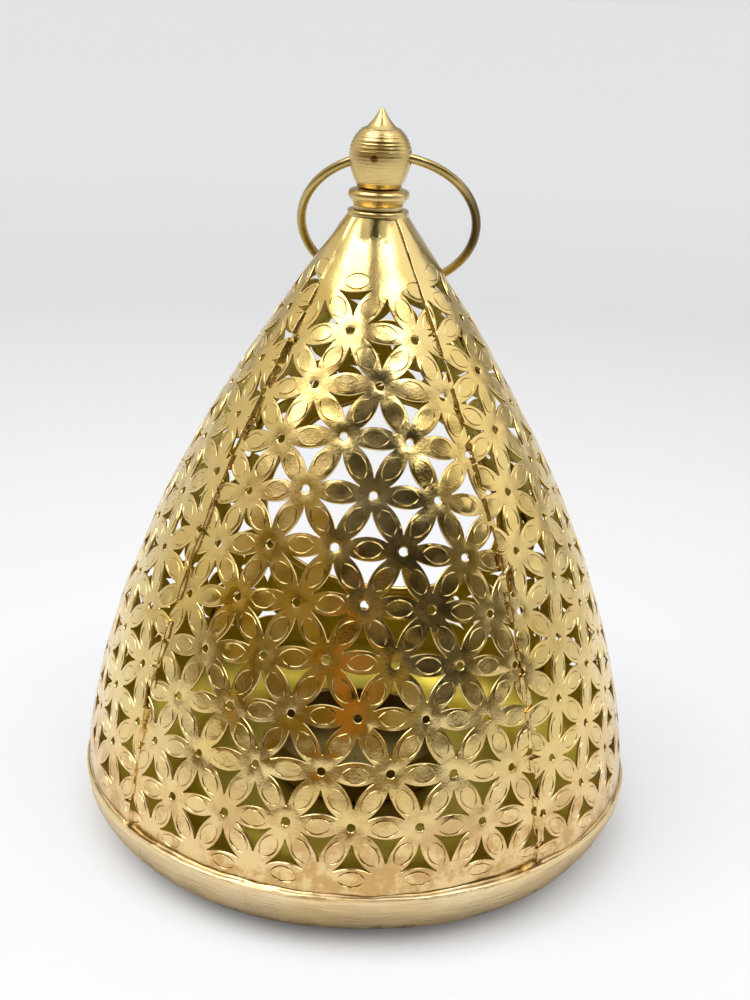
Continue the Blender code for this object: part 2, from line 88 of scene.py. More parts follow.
GAP = 0.0003
CAP_BOTTOM = CROWN_HEIGHT + GAP
CAP_TOP = CAP_BOTTOM + 0.0015
SPIGOT_RADIUS = 0.0080
SPIGOT_DEPTH = 0.0030
BORE_RADIUS = 0.0028
COLLAR_BOTTOM = CAP_TOP + GAP
BEAD_RADIUS = 0.0103
BEAD_HALF = 0.0018
BEAD_HEIGHT = COLLAR_BOTTOM + 0.0028 + BEAD_HALF
COLLAR_TOP = BEAD_HEIGHT + BEAD_HALF + 0.0003
FINIAL_BOTTOM = COLLAR_TOP + GAP
BALL_RADIUS = 0.01045
BALL_HEIGHT = FINIAL_BOTTOM + 0.0105
WAIST_RADIUS = 0.0074
RING_RADIUS = 0.0302
RING_WIRE_RADIUS = 0.0016
RING_HOLE_SLANT = radians(5.25)
HINGE_HEIGHT = BALL_HEIGHT - 0.0012

# First row below the crown, shift and tilt of each gore's lattice on its sheet, and
# whether the gore's sides are tucked under its neighbours
PATTERNS = {
    "gore_front": (0.0393, -0.0045, radians(-1.04), True),
    "gore_right": (0.0359, -0.0099, radians(-2.54), False),
    "gore_back": (0.0393, -0.0045, radians(-1.04), True),
    "gore_left": (0.0329, -0.00625, radians(2.35), False),
}

# Detail of the pierced sheet, as shares of the flower spacing or in metres
TIP_REACH = 0.258
TIP_HALF_WIDTH = 0.014
PETAL_HALF_WIDTH = 0.168
HOLE_RADIUS = 0.072
LENS_HALF_LENGTH = 0.212
LENS_HALF_WIDTH = 0.126
GROOVE_WIDTH = 0.00060
GROOVE_DEPTH = 0.00026
BURR = 0.00028
GRID = 0.0036
HOLE_BORDER = 0.00030
EDGE_SINK = 0.00007
BACK_SHARE = 0.35
GROOVE_SHADE = 0.55
WANDER = 0.00016
OUTWARD_LIMIT = -0.00025
HOLE_CLEARANCE = 0.0035
PIERCING_CLEARANCE = 0.0065
LENS_CLEARANCE = 0.0055

# Solder along the laps, and how near the crown it and the laps change
OVERLAP = radians(2)
SOLDER_WIDTH = 0.00052
SOLDER_LIMITS = (0.00025, 0.002)
SEAM_END = 0.0035
FLAT_LAP_SHARE = 0.72
CROWN_ZONE = 0.034
CROWN_FADE = 0.012

# Steps of curves, and the radius on which patterns are laid round the base
PROFILE_STEPS = 400
ARC_STEPS = 9
ROUND_STEPS = 72
PATTERN_RADIUS = 0.1
LEAST_WIDENING = 0.002


# Shell surface


def shell_profile():
    crown = np.array([CROWN_RADIUS, CROWN_HEIGHT])
    belly = np.array([BELLY_RADIUS, BELLY_HEIGHT])
    low = crown + CROWN_HANDLE * np.array([sin(CROWN_SLOPE), -cos(CROWN_SLOPE)])
    high = belly + BELLY_HANDLE * np.array([-sin(BELLY_SLOPE), cos(BELLY_SLOPE)])
    t = (np.arange(PROFILE_STEPS) / PROFILE_STEPS)[:, None]
    s = 1 - t
    side = s**3 * crown + 3 * t * s * s * low + 3 * t * t * s * high + t**3 * belly
    centre_radius = BELLY_RADIUS - FOOT_ROLL_RADIUS * cos(BELLY_SLOPE)
    centre_height = BELLY_HEIGHT - FOOT_ROLL_RADIUS * sin(BELLY_SLOPE)
    end = np.arcsin((PAN_RIM_HEIGHT - FOOT_DEPTH - centre_height) / FOOT_ROLL_RADIUS)
    turn = np.linspace(BELLY_SLOPE, end, PROFILE_STEPS // 8 + 1)
    roll_radius = centre_radius + FOOT_ROLL_RADIUS * np.cos(turn)
    roll_height = centre_height + FOOT_ROLL_RADIUS * np.sin(turn)
    return np.vstack([side, np.column_stack([roll_radius, roll_height])])


PROFILE = shell_profile()
STEPS = np.hypot(*np.diff(PROFILE, axis=0).T)
ALONG = np.concatenate([[0], np.cumsum(STEPS)])
LENGTH = ALONG[-1]
MIDDLES = (ALONG[1:] + ALONG[:-1]) / 2
WIDENING = np.diff(PROFILE[:, 0]) / STEPS


def shell_at(along):
    """Radius, height and outward widening at a distance down from the crown."""
    radius = np.interp(along, ALONG, PROFILE[:, 0])
    height = np.interp(along, ALONG, PROFILE[:, 1])
    return radius, height, np.interp(along, MIDDLES, WIDENING)


def cone_at(along):
    """Slant length and widening of the cone that fits the shell there."""
    radius, _, widening = shell_at(along)
    widening = np.maximum(widening, LEAST_WIDENING)
    return radius / widening, widening


def from_sheet(points):
    """Angle and distance along of points of the flat sheet once it is bent."""
    x, y = points[:, 0], points[:, 1]
    along = y.copy()
    for _ in range(40):
        cone, widening = cone_at(along)
        turn = np.arcsin(np.clip(x / cone, -0.99, 0.99))
        along += 0.5 * (y + cone * (1 - np.cos(turn)) - along)
    return turn / widening, along


def to_sheet(angle, along):
    """Points of the flat sheet from an angle and a distance along the bent one."""
    angle, along = np.broadcast_arrays(np.asarray(angle, float), np.asarray(along, float))
    cone, widening = cone_at(along)
    turn = angle * widening
    return np.column_stack([cone * np.sin(turn), along - cone * (1 - np.cos(turn))])


def near_crown(along):
    """1 at the crown, 0 further down, with a fade between them."""
    return np.clip((CROWN_ZONE - along) / CROWN_FADE, 0, 1)


def lap_step(along):
    """Depth of a lap. The laps are hammered nearly flat towards the crown."""
    return LAP_OFFSET * (1 - FLAT_LAP_SHARE * near_crown(along))


def tuck(angle):
    """Share of a lap's depth that a tucked gore has at an angle from its middle."""
    return np.minimum(1, (angle / (TUCK_SHARE * HALF_ANGLE)) ** 2)


def place(angle, along, depth, tucked, turn=0.0):
    """Points of a gore. One that is tucked lies a lap deeper at both its sides."""
    radius, height, widening = shell_at(along)
    upright = np.sqrt(np.maximum(0, 1 - widening**2))
    inward = depth
    if tucked:
        inward = inward + lap_step(along) * tuck(angle)
    radius = radius - inward * upright
    height = height - inward * widening
    around = angle + turn
    return np.column_stack([radius * np.sin(around), -radius * np.cos(around), height])


# Helpers


def waves(rng, count, shortest, longest, height):
    """A smooth random height over the plane, as a sum of waves."""
    length = np.exp(rng.uniform(np.log(shortest), np.log(longest), count))
    way = rng.uniform(0, 2 * pi, count)
    k = 2 * pi / length[:, None] * np.column_stack([np.cos(way), np.sin(way)])
    phase = rng.uniform(0, 2 * pi, count)
    size = height * length / length.max() * sqrt(2 / count)

    def value(points):
        return np.sin(points @ k.T + phase) @ size

    return value


def new_object(name, data):
    obj = bpy.data.objects.new(name, data)
    bpy.context.scene.collection.objects.link(obj)
    return obj


def mesh_piece(name, points, faces, material, body, sharp=40, replaces=None):
    mesh = bpy.data.meshes.new(name)
    mesh.from_pydata([tuple(p) for p in points], [], [tuple(f) for f in faces])
    mesh.validate()
    mesh.shade_smooth()
    mesh.set_sharp_from_angle(angle=radians(sharp))
    obj = new_object(name, mesh)
    mesh.materials.append(material)
    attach(obj, body)
    if replaces:
        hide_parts(replaces)
    return obj


def revolved(profile, steps, closed, shift=None):
    """Points and faces of a profile of (radius, height) turned about Z."""
    profile = np.asarray(profile, float)
    turn = 2 * pi * np.arange(steps) / steps
    radius = np.repeat(profile[None, :, 0], steps, 0)
    height = np.repeat(profile[None, :, 1], steps, 0)
    around = np.repeat(turn[:, None], len(profile), 1)
    if shift:
        extra_radius, extra_height = shift(around, radius, height)
        radius = radius + extra_radius
        height = height + extra_height
    points = np.stack([radius * np.cos(around), radius * np.sin(around), height], -1)
    count = len(profile)
    last = count if closed else count - 1
    faces = []
    for i in range(steps):
        a = i * count
        b = (i + 1) % steps * count
        for j in range(last):
            k = (j + 1) % count
            faces.append((a + j, a + k, b + k, b + j))
    return points.reshape(-1, 3), faces


def turned_piece(name, profile, material, replaces, sharp=32):
    points, faces = revolved(profile, ROUND_STEPS, True)
    mesh_piece(name, points, faces, material, "lantern", sharp=sharp, replaces=replaces)


def tube(path, radius, sides):
    """Points and faces of a closed tube along a path."""
    path = np.asarray(path, float)
    count = len(path)
    way = np.roll(path, -1, 0) - np.roll(path, 1, 0)
    way /= np.linalg.norm(way, axis=1)[:, None]
    out = path - path.mean(0)
    out -= (out * way).sum(1)[:, None] * way
    out /= np.linalg.norm(out, axis=1)[:, None]
    side = np.cross(way, out)
    turn = 2 * pi * np.arange(sides) / sides
    offset = np.cos(turn)[None, :, None] * out[:, None]
    offset = offset + np.sin(turn)[None, :, None] * side[:, None]
    points = path[:, None] + radius * offset
    return points.reshape(-1, 3), loop_faces(count, sides)


def loop_faces(count, sides):
    """Faces of a closed row of count loops with sides points each."""
    faces = []
    for i in range(count):
        a = i * sides
        b = (i + 1) % count * sides
        for j in range(sides):
            k = (j + 1) % sides
            faces.append((a + j, b + j, b + k, a + k))
    return faces


def thickened(outer, thickness):
    """The points of a profile moved inward by the sheet's thickness."""
    way = np.gradient(outer, axis=0)
    way /= np.linalg.norm(way, axis=1)[:, None]
    return outer + thickness * np.column_stack([way[:, 1], -way[:, 0]])


def set_painted_shade(obj, values):
    """How much painted shade each point has, which the brass reads: in grooves, laps and gaps."""
    attribute = obj.data.attributes.new("groove", "FLOAT", "POINT")
    attribute.data.foreach_set("value", np.asarray(values, np.float32))


# Materials


class Graph:
    """Short ways to add nodes to the tree of a material or the world."""

    def __init__(self, owner):
        owner.use_nodes = True
        self.nodes = owner.node_tree.nodes
        self.links = owner.node_tree.links

    def put(self, socket, value):
        """Link another node's output to a socket, or give it a number or a colour."""
        if isinstance(value, bpy.types.NodeSocket):
            self.links.new(value, socket)
        elif isinstance(value, tuple) and socket.type == "RGBA":
            socket.default_value = (*value, 1)
        else:
            socket.default_value = value

    def node(self, kind, inputs=(), **settings):
        made = self.nodes.new("ShaderNode" + kind)
        for name, value in settings.items():
            setattr(made, name, value)
        for key, value in dict(inputs).items():
            self.put(made.inputs[key], value)
        return made

    def ramp(self, factor, stops):
        made = self.node("ValToRGB", {"Fac": factor})
        elements = made.color_ramp.elements
        while len(elements) > 1:
            elements.remove(elements[0])
        elements[0].position = stops[0][0]
        elements[0].color = (*stops[0][1], 1)
        for position, colour in stops[1:]:
            elements.new(position).color = (*colour, 1)
        return made.outputs["Color"]

    def noise(self, vector, scale, detail, rough):
        inputs = {"Vector": vector, "Scale": scale, "Detail": detail, "Roughness": rough}
        return self.node("TexNoise", inputs).outputs["Fac"]

    def scaled(self, vector, scale):
        return self.node("Mapping", {"Vector": vector, "Scale": scale}).outputs["Vector"]

    def axes(self, vector):
        return tuple(self.node("SeparateXYZ", {0: vector}).outputs)

    def math(self, operation, a, b=0.5):
        return self.node("Math", {0: a, 1: b}, operation=operation).outputs[0]

    def measure(self, operation, a, b=(0.0, 0.0, 0.0)):
        """A number from one or two vectors, such as their distance."""
        return self.node("VectorMath", {0: a, 1: b}, operation=operation).outputs["Value"]

    def spread(self, value, low, high, to_low, to_high):
        ends = {"From Min": low, "From Max": high, "To Min": to_low, "To Max": to_high}
        made = self.node("MapRange", {"Value": value, **ends}, interpolation_type="SMOOTHSTEP")
        return made.outputs["Result"]

    def mixed(self, factor, a, b, kind="MIX"):
        made = self.node("Mix", data_type="RGBA", blend_type=kind, clamp_factor=True)
        for index, value in ((0, factor), (6, a), (7, b)):
            self.put(made.inputs[index], value)
        return made.outputs[2]

    def mixed_shaders(self, factor, a, b):
        return self.node("MixShader", {0: factor, 1: a.outputs[0], 2: b.outputs[0]}).outputs[0]


# The first colour is painted shade, for grooves, laps and gaps
CREVICE_SHADE = (0.05, 0.03, 0.012)
LOW_BAND_SHADE = (0.36, 0.25, 0.12)
CROWN_DARK_PATCH = (0.055, 0.040, 0.010)
FOOT_TINT = (0.79, 0.565, 0.285)
FOOT_BLOT = (0.47, 0.26, 0.08)
BUMP_HEIGHT = 0.0005


def brass(
    name,
    pale,
    warm,
    stain,
    stained,
    rough,
    streaks=None,
    streak_bump=0.0,
    grain=0.06,
    crown_patch_and_foot_stains=False,
    spot=None,
    low_shade=False,
):
    """Brass with patches of colour, stains, brushing streaks, grain and painted shade in grooves
    and gaps.

    The options add a darker patch at the front middle of the crown under the cap and the
    stains at the foot, painted shade towards the bottom of the band, and one round mark.
    """
    material = bpy.data.materials.new(name)
    tree = Graph(material)
    shader = tree.nodes["Principled BSDF"].inputs
    where = tree.node("TexCoord").outputs["Object"]
    x, y, z = tree.axes(where)
    colour = tree.ramp(tree.noise(where, 34, 5, 0.6), [(0.36, pale), (0.64, warm)])
    heat = tree.noise(tree.scaled(where, (1.0, 1.0, 0.7)), 19, 3, 0.5)
    colour = tree.mixed(tree.spread(heat, 0.60, 0.74, 0.0, stained), colour, stain)
    speck = tree.spread(tree.noise(where, 330, 4, 0.7), 0.64, 0.80, 0.0, 0.45)
    colour = tree.mixed(speck, colour, tuple(0.45 * c for c in pale))
    if spot:
        centre, inner, outer, strength, tint = spot
        away = tree.measure("DISTANCE", where, centre)
        colour = tree.mixed(tree.spread(away, inner, outer, strength, 0.0), colour, tint)
    if low_shade:
        # Painted shade: darker towards the bottom of the band, where the base stands
        cloud = tree.math("MULTIPLY", tree.noise(where, 95, 5, 0.7), 0.020)
        low = tree.spread(tree.math("SUBTRACT", z, cloud), -0.009, 0.001, 0.75, 0.0)
        colour = tree.mixed(low, colour, LOW_BAND_SHADE)
    if crown_patch_and_foot_stains:
        # A darker patch at the front middle of the crown, just under the cap
        cloud = tree.math("MULTIPLY", tree.noise(where, 210, 5, 0.65), 0.016)
        high = tree.spread(tree.math("ADD", z, cloud), 0.2235, 0.2262, 0.0, 0.90)
        middle = tree.spread(tree.math("ABSOLUTE", x), 0.0035, 0.0070, 1.0, 0.0)
        front = tree.spread(y, -0.002, 0.0, 1.0, 0.0)
        high = tree.math("MULTIPLY", high, tree.math("MULTIPLY", middle, front))
        colour = tree.mixed(high, colour, CROWN_DARK_PATCH)
        low = tree.spread(z, 0.030, 0.068, 0.70, 0.0)
        colour = tree.mixed(low, colour, FOOT_TINT)
        blots = tree.spread(tree.noise(where, 75, 6, 0.75), 0.44, 0.58, 0.0, 1.0)
        colour = tree.mixed(tree.math("MULTIPLY", blots, low), colour, FOOT_BLOT)
    groove = tree.node("Attribute", attribute_name="groove").outputs["Fac"]
    # Painted shade from the groove attribute, in grooves, laps and gaps
    tree.put(shader["Base Color"], tree.mixed(groove, colour, CREVICE_SHADE))
    worn = tree.noise(where, 120, 5, 0.65)
    gloss = tree.spread(worn, 0.3, 0.7, *rough)
    height = tree.math("MULTIPLY", tree.noise(where, 900, 3, 0.6), grain)
    height = tree.math("ADD", height, tree.math("MULTIPLY", worn, 0.5 * grain))
    if streaks:
        lines = tree.noise(tree.scaled(where, streaks), 1.0, 4, 0.6)
        gloss = tree.math("ADD", gloss, tree.spread(lines, 0.35, 0.7, 0.0, 0.10))
        height = tree.math("ADD", height, tree.math("MULTIPLY", lines, streak_bump))
    bump = tree.node("Bump", {"Strength": 1.0, "Distance": BUMP_HEIGHT, "Height": height})
    tree.put(shader["Normal"], bump.outputs["Normal"])
    tree.put(shader["Roughness"], gloss)
    tree.put(shader["Metallic"], 1.0)
    return material


PALE = (0.780, 0.605, 0.270)
WARM = (0.755, 0.545, 0.190)
PINK = (0.780, 0.525, 0.265)
AMBER = (0.560, 0.300, 0.090)

# Centre, inner and outer radius, strength and colour of a round mark
BALL_SPOT = ((-0.0010, -0.0104, 0.2413), 0.0007, 0.0018, 0.92, (0.22, 0.060, 0.018))
RING_SMOKE = ((0.0335, 0.0180, 0.2190), 0.007, 0.022, 0.88, (0.07, 0.055, 0.025))

sheet_brass = brass("sheet_brass", PALE, WARM, PINK, 0.5, (0.13, 0.26), grain=0.09, crown_patch_and_foot_stains=True)
# The inner faces: a darker, more olive copy of the brass, which paints the shade inside the
# lantern, and rougher
shaded_inner_brass = brass(
    "shaded_inner_brass", (0.62, 0.51, 0.08), (0.54, 0.42, 0.06), AMBER, 0.4, (0.36, 0.52)
)
band_brass = brass(
    "band_brass",
    (0.86, 0.69, 0.42),
    (0.84, 0.64, 0.33),
    (0.86, 0.62, 0.40),
    0.6,
    (0.22, 0.42),
    (70, 70, 1100),
    0.6,
    grain=0.22,
    low_shade=True,
)
turned_brass = brass(
    "turned_brass",
    (0.72, 0.55, 0.24),
    (0.60, 0.44, 0.17),
    AMBER,
    0.4,
    (0.12, 0.22),
    (20, 20, 2600),
    0.2,
    grain=0.05,
    spot=BALL_SPOT,
)
wire_brass = brass(
    "wire_brass",
    (0.58, 0.44, 0.20),
    (0.36, 0.28, 0.09),
    AMBER,
    0.7,
    (0.16, 0.30),
    grain=0.08,
    spot=RING_SMOKE,
)
# The candle cup: brass darkened to paint the shade it stands in inside the lantern
shaded_cup_brass = brass(
    "shaded_cup_brass",
    (0.34, 0.25, 0.08),
    (0.22, 0.15, 0.04),
    (0.10, 0.06, 0.02),
    0.7,
    (0.34, 0.55),
    (40, 40, 1500),
    0.3,
    grain=0.2,
)
fastener_brass = brass("fastener_brass", WARM, (0.6, 0.42, 0.18), AMBER, 0.4, (0.3, 0.5))


# Pierced gores


class SheetPlan:
    """Points, edges and outlines on the flat sheet, with what each point carries."""

    def __init__(self):
        self.points = []
        self.edges = []
        self.faces = []
        self.depth = {}
        self.groove = {}

    def add(self, points, depth=None, groove=None):
        start = len(self.points)
        self.points.extend(tuple(p) for p in points)
        indices = list(range(start, len(self.points)))
        if depth is not None:
            self.depth.update(zip(indices, np.broadcast_to(depth, len(indices))))
        if groove is not None:
            self.groove.update(zip(indices, np.broadcast_to(groove, len(indices))))
        return indices

    def outline(self, points):
        self.faces.append(self.add(points))

    def chain(self, indices):
        self.edges.extend(zip(indices, indices[1:]))


def turned(v, angle):
    """A vector of the flat sheet, turned."""
    c, s = cos(angle), sin(angle)
    return np.array([c * v[0] - s * v[1], s * v[0] + c * v[1]])


def flower_places(pattern, rng):
    first_row, shift, tilt, _ = pattern
    reach = ceil(HALF_ANGLE * BELLY_RADIUS / SPACING) + 2
    found = {}
    for row in range(-1, FLOWER_ROWS + 2):
        for step in range(-reach, reach + 1):
            column = step + 0.5 * (row % 2)
            x = shift + SPACING * column
            y = first_row + PITCH * row
            found[row, column] = turned((x, y), tilt) + rng.normal(0, WANDER, 2)
    return found


def arc_between(start, end, through):
    """Points of the circular arc from start to end that bulges as far as through."""
    middle = (start + end) / 2
    half = (end - start) / 2
    length = np.linalg.norm(half)
    side = np.array([-half[1], half[0]]) / length
    rise = float((through - middle) @ side)
    if abs(rise) < 1e-7:
        return [start + (end - start) * i / ARC_STEPS for i in range(ARC_STEPS + 1)]
    radius = (length**2 + rise**2) / (2 * abs(rise))
    found = []
    for i in range(ARC_STEPS + 1):
        u = 2 * i / ARC_STEPS - 1
        lift = sqrt(radius**2 - (length * u) ** 2) - (radius - abs(rise))
        found.append(middle + half * u + side * lift * (1 if rise > 0 else -1))
    return found


def unit(v):
    return v / np.linalg.norm(v)


def opening_outline(corners, rng):
    """Curved opening between three flowers, with blunt tips that point at them."""
    middle = sum(corners) / 3
    outline = []
    tips = []
    for corner in corners:
        inward = unit(middle - corner)
        across = np.array([-inward[1], inward[0]])
        reach = SPACING * (TIP_REACH + rng.normal(0, 0.008))
        tips.append((corner + reach * inward, inward, across))
    for i, (tip, inward, across) in enumerate(tips):
        following = (i + 1) % 3
        tip_next, _, across_next = tips[following]
        edge_middle = (corners[i] + corners[following]) / 2
        towards = unit(middle - edge_middle)
        waist = edge_middle + towards * SPACING * (PETAL_HALF_WIDTH + rng.normal(0, 0.004))
        side = 1 if (edge_middle - tip) @ across > 0 else -1
        side_next = 1 if (edge_middle - tip_next) @ across_next > 0 else -1
        start = tip + across * side * SPACING * TIP_HALF_WIDTH
        end = tip_next + across_next * side_next * SPACING * TIP_HALF_WIDTH
        outline.append(tip - inward * SPACING * 0.012)
        outline.extend(arc_between(start, end, waist))
    return outline


def punched_arc(plan, centre, along_way, side_way, half_length, rise, rng):
    """A shallow crescent groove: five lines between its ends, the middle one deepest."""
    u = np.linspace(-1, 1, ARC_STEPS + 1)
    radius = (half_length**2 + rise**2) / (2 * rise)
    lift = np.sqrt(radius**2 - (half_length * u) ** 2) - (radius - rise)
    normal_x = half_length * u / radius
    normal_y = np.sqrt(1 - normal_x**2)
    swell = 1 - u**4
    deepest = GROOVE_DEPTH * swell * rng.uniform(0.8, 1.15)

    def line(offset, depth, groove):
        x = half_length * u + normal_x * offset
        y = lift + normal_y * offset
        inner = slice(1, -1)
        points = centre + np.outer(x[inner], along_way) + np.outer(y[inner], side_way)
        return plan.add(points, depth[inner], groove[inner])

    width = GROOVE_WIDTH / 2 * np.sqrt(swell)
    tips = half_length * np.array([[-1], [1]])
    first, last = plan.add(centre + tips * along_way)
    nothing = 0 * u
    for offset, depth, groove in (
        (width, nothing, nothing),
        (0.53 * width, 0.73 * deepest, 0.4 * swell),
        (nothing, deepest, swell),
        (-0.53 * width, 0.73 * deepest, 0.4 * swell),
        (-width, nothing, nothing),
    ):
        plan.chain([first] + line(offset, depth, groove) + [last])


def lens(plan, a, b, rng):
    """The incised leaf on the petal between two flowers, punched as two arcs."""
    middle = (a + b) / 2 + rng.normal(0, WANDER, 2)
    way = turned(unit(b - a), rng.normal(0, 0.035))
    across = np.array([-way[1], way[0]])
    half = SPACING * LENS_HALF_LENGTH
    for side in (1, -1):
        centre = middle + way * rng.normal(0, 0.00028) + across * side * 0.00020
        rise = SPACING * (LENS_HALF_WIDTH + rng.normal(0, 0.003)) - 0.0002
        punched_arc(plan, centre, way, side * across, half * rng.uniform(0.95, 1.03), rise, rng)


def gore_plan(pattern, opened, rng):
    plan = SheetPlan()
    columns = np.linspace(-HALF_ANGLE, HALF_ANGLE, 49)
    head = to_sheet(columns[::4], 0.0)
    rungs = np.linspace(0, LENGTH, 56)[1:-1]
    right = to_sheet(HALF_ANGLE, rungs)
    foot = to_sheet(columns[::-1], LENGTH)
    left = to_sheet(-HALF_ANGLE, rungs[::-1])
    plan.outline(np.vstack([head, right, foot, left]))
    flowers = flower_places(pattern, rng)
    opening = np.array([0, LENGTH - OPENING_ABOVE_FOOT])
    if opened:
        turn = np.linspace(0, 2 * pi, 97)[:-1]
        plan.outline(opening + OPENING_RADIUS * np.column_stack([np.cos(turn), np.sin(turn)]))

    def far_from_opening(point, reach):
        return not opened or np.linalg.norm(point - opening) > OPENING_RADIUS + reach

    limit = HALF_ANGLE * BELLY_RADIUS + SPACING
    for (row, column), here in flowers.items():
        if abs(here[0]) > limit:
            continue
        beside = flowers.get((row, column + 1))
        left_low = flowers.get((row + 1, column - 0.5))
        right_low = flowers.get((row + 1, column + 0.5))
        if 0 <= row < FLOWER_ROWS and far_from_opening(here, HOLE_CLEARANCE):
            turn = np.linspace(0, 2 * pi, 15)[:-1] + rng.uniform(0, 0.4)
            centre = here + rng.normal(0, 0.0002, 2)
            radius = SPACING * HOLE_RADIUS * rng.uniform(0.94, 1.05)
            circle = np.column_stack([np.cos(turn), np.sin(turn)])
            plan.outline(centre + radius * circle)
            plan.add(centre + (radius + HOLE_BORDER) * circle)
        for corners in ((here, right_low, left_low), (here, beside, right_low)):
            if any(c is None for c in corners) or row >= FLOWER_ROWS:
                continue
            if far_from_opening(sum(corners) / 3, PIERCING_CLEARANCE):
                plan.outline(opening_outline(corners, rng))
        for other in (beside, left_low, right_low):
            if other is None or (row >= FLOWER_ROWS and other is not beside):
                continue
            if far_from_opening((here + other) / 2, LENS_CLEARANCE):
                lens(plan, here, other, rng)
    width = HALF_ANGLE * BELLY_RADIUS
    for y in np.arange(-0.002, LENGTH, GRID):
        for x in np.arange(-width, width, GRID):
            plan.add([np.array([x, y]) + rng.uniform(-0.3, 0.3, 2) * GRID])
    return plan


def gore(name, pattern, opened, turn, seed):
    """A pierced gore. Gives back its openings' outlines and how deep its dents lie."""
    rng = np.random.default_rng(seed)
    plan = gore_plan(pattern, opened, rng)
    openings = [np.array([plan.points[i] for i in face]) for face in plan.faces[1:]]
    flat = [Vector(p) for p in plan.points]
    found = delaunay_2d_cdt(flat, plan.edges, plan.faces, 0, 1e-7, True)
    points = np.array([tuple(p) for p in found[0]])
    faces = np.array([f for f, inside in zip(found[2], found[5]) if inside == [0]])
    used, faces = np.unique(faces, return_inverse=True)
    faces = faces.reshape(-1, 3)
    depth = np.zeros(len(used))
    groove = np.zeros(len(used))
    for i, vertex in enumerate(used):
        for origin in found[3][vertex]:
            depth[i] = plan.depth.get(origin, depth[i])
            groove[i] = plan.groove.get(origin, groove[i])
    points = points[used]
    count = len(points)
    sides = np.vstack([faces[:, [0, 1]], faces[:, [1, 2]], faces[:, [2, 0]]])
    keys = dict.fromkeys(map(tuple, sides.tolist()))
    border = np.array([edge for edge in keys if edge[::-1] not in keys])
    way = points[border[:, 1]] - points[border[:, 0]]
    way /= np.linalg.norm(way, axis=1)[:, None]
    out = np.column_stack([way[:, 1], -way[:, 0]])
    total = np.zeros((count, 2))
    np.add.at(total, border[:, 0], out)
    np.add.at(total, border[:, 1], out)
    edge_points = np.unique(border)
    size = np.linalg.norm(total[edge_points], axis=1)
    miter = total[edge_points] / np.maximum(size, 1e-6)[:, None]
    miter = miter / np.maximum(size / 2, 0.7)[:, None]
    rank = {int(v): i for i, v in enumerate(edge_points)}
    rim = points[edge_points] + 0.7 * BURR * miter
    dent = waves(rng, 26, 0.010, 0.055, 0.00030)
    bow = waves(rng, 30, 0.0045, 0.010, 0.00006)
    edge_depth = depth.copy()
    edge_depth[edge_points] += EDGE_SINK
    flat_all = np.vstack([points, rim, rim, points])
    rims = np.repeat([BURR, SHEET], len(rim))
    depth_all = np.concatenate([edge_depth, rims, SHEET + BACK_SHARE * depth])
    depth_all = depth_all + dent(flat_all) + bow(flat_all)
    angle, along = from_sheet(flat_all)
    depth_all = np.maximum(depth_all, OUTWARD_LIMIT)
    solid = place(angle, along, depth_all, pattern[3], turn)
    n, m = count, len(rim)
    inner = np.arange(count) + n + 2 * m
    for v, i in rank.items():
        inner[v] = n + m + i
    quads = []
    for a, b in border.tolist():
        ra, rb = rank[a], rank[b]
        quads.append((a, b, n + rb, n + ra))
        quads.append((n + ra, n + rb, n + m + rb, n + m + ra))
    outer = [tuple(f[::-1]) for f in faces.tolist()]
    back = [tuple(inner[f]) for f in faces]
    obj = mesh_piece(
        name + "_sheet",
        solid,
        outer + quads + back,
        sheet_brass,
        "lantern",
        replaces=name,
        sharp=25,
    )
    obj.data.materials.append(shaded_inner_brass)
    slots = np.zeros(len(obj.data.polygons), np.int32)
    slots[-len(back):] = 1
    obj.data.polygons.foreach_set("material_index", slots)
    values = np.zeros(len(obj.data.vertices))
    # Painted shade in the punched grooves, deepest along their middle line
    values[:count] = GROOVE_SHADE * groove
    set_painted_shade(obj, values)
    return openings, lambda points: dent(points) + bow(points)


sheets = {}
for index, (gore_name, gore_pattern) in enumerate(PATTERNS.items()):
    opened = gore_name == "gore_back"
    sheets[gore_name] = gore(gore_name, gore_pattern, opened, index * pi / 2, 11 + index)


def is_metal(name, points):
    """Whether points of a gore's flat sheet lie outside all its openings."""
    solid = np.ones(len(points), bool)
    for outline in sheets[name][0]:
        a, b = outline, np.roll(outline, -1, 0)
        above = (a[:, 1] > points[:, 1:]) != (b[:, 1] > points[:, 1:])
        drop = np.where(b[:, 1] == a[:, 1], 1e-12, b[:, 1] - a[:, 1])
        x = a[:, 0] + (points[:, 1:] - a[:, 1]) * (b[:, 0] - a[:, 0]) / drop
        solid &= np.sum(above & (points[:, :1] < x), 1) % 2 == 0
    return solid


